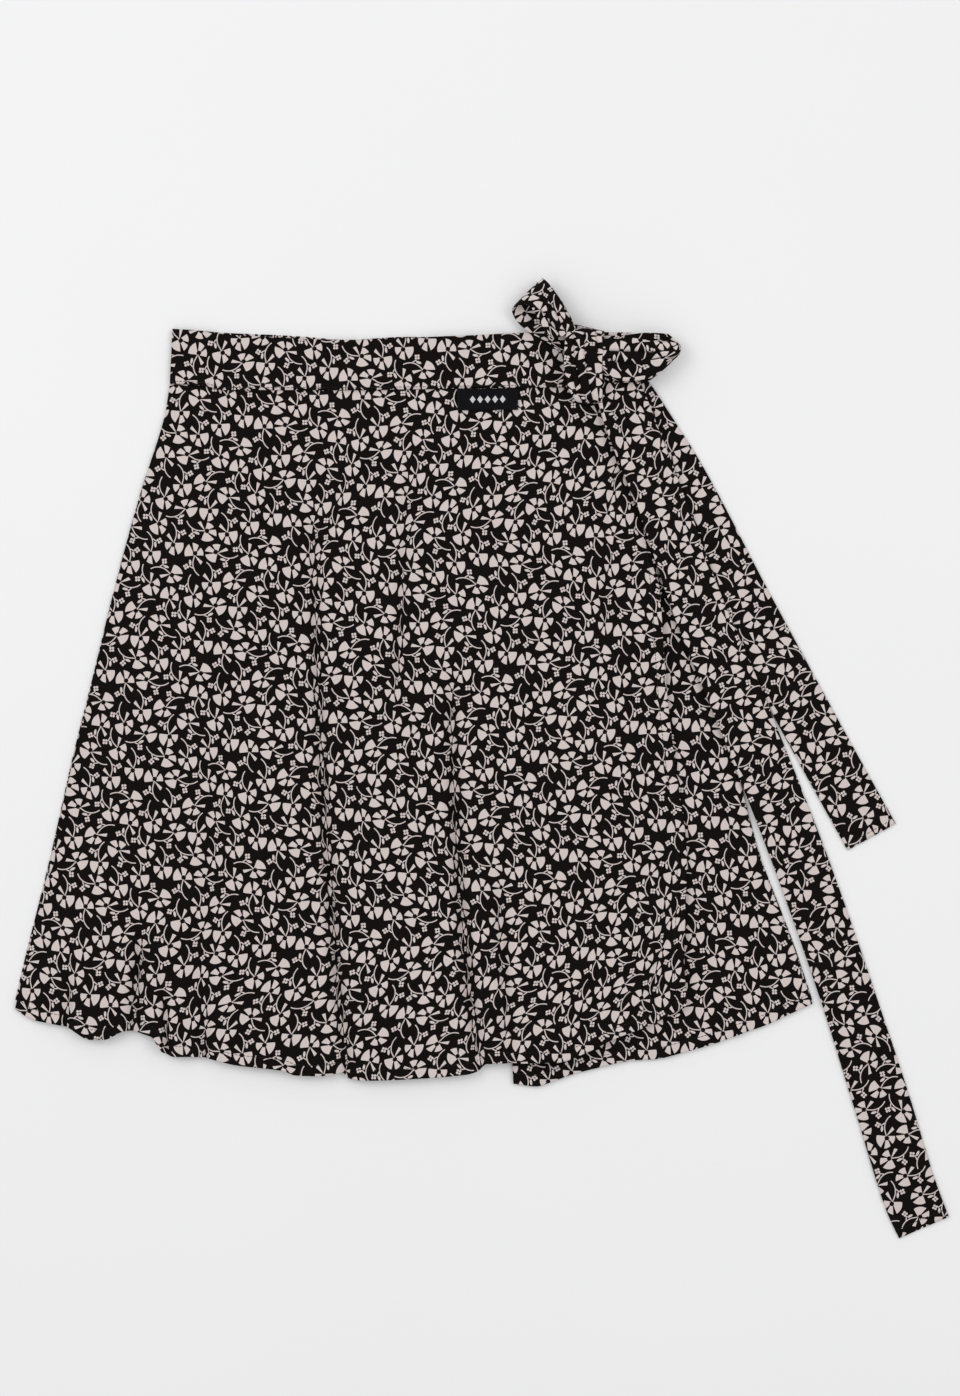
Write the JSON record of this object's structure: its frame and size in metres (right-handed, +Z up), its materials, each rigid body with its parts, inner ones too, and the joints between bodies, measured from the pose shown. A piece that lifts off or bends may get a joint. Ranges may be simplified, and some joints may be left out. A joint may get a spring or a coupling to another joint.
{
  "type": "wrap skirt",
  "caption": "Flared wrap skirt laid flat on its back, front panel lapped over an under panel, waistband tied at one side in a bow with two hanging tie ends.",
  "frame": {"origin": "bottom centre of everything that lies on the surface: the middle of the skirt and ties seen from above, on the surface they rest on", "axes": "+Z up off the surface, through the thickness of the flat cloth; +Y from the hem towards the waist; +X across the skirt towards the tied side"},
  "size_m": [0.7234, 0.7424, 0.0235],
  "materials": {
    "print": "smooth light crepe, near-black with a pale all-over flower print",
    "label": "black woven label with a plain row of pale diamonds"
  },
  "bodies": {
    "root": {"back_panel": "print", "under_wrap_panel": "print", "outer_wrap_panel": "print", "waistband_back": "print", "waistband_under": "print", "waistband_front": "print", "label": "label", "tie_short": "print", "tie_long": "print", "bow_loop_upper": "print", "bow_loop_side": "print", "bow_knot": "print"}
  },
  "joints": []
}
